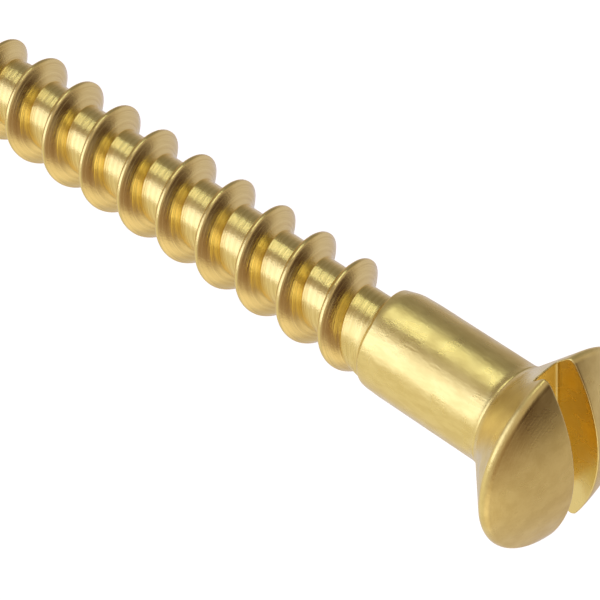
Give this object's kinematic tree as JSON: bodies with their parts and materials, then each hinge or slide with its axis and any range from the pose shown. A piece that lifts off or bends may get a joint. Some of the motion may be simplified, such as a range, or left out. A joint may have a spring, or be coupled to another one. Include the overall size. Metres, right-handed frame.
{
  "type": "wood screw",
  "caption": "Slotted brass wood screw with a raised countersunk head, a plain shank, a coarse right-hand thread and a gimlet point.",
  "frame": {"origin": "on the screw's axis at the rim of the head, the plane that lies flush with the wood", "axes": "+Z along the axis from the tip to the head; the driver slot runs along X"},
  "size_m": [0.0082, 0.0084, 0.0393],
  "materials": {
    "satin_brass": "satin turned brass with fine brush marks, brighter at the rim",
    "bright_brass": "bright drawn brass with faint lengthwise marks",
    "cut_brass": "bright machined brass with fine tool marks around the axis"
  },
  "bodies": {
    "root": {"head": "satin_brass", "shank": "bright_brass", "thread_core": "cut_brass", "thread": "cut_brass", "point": "cut_brass"}
  },
  "joints": []
}
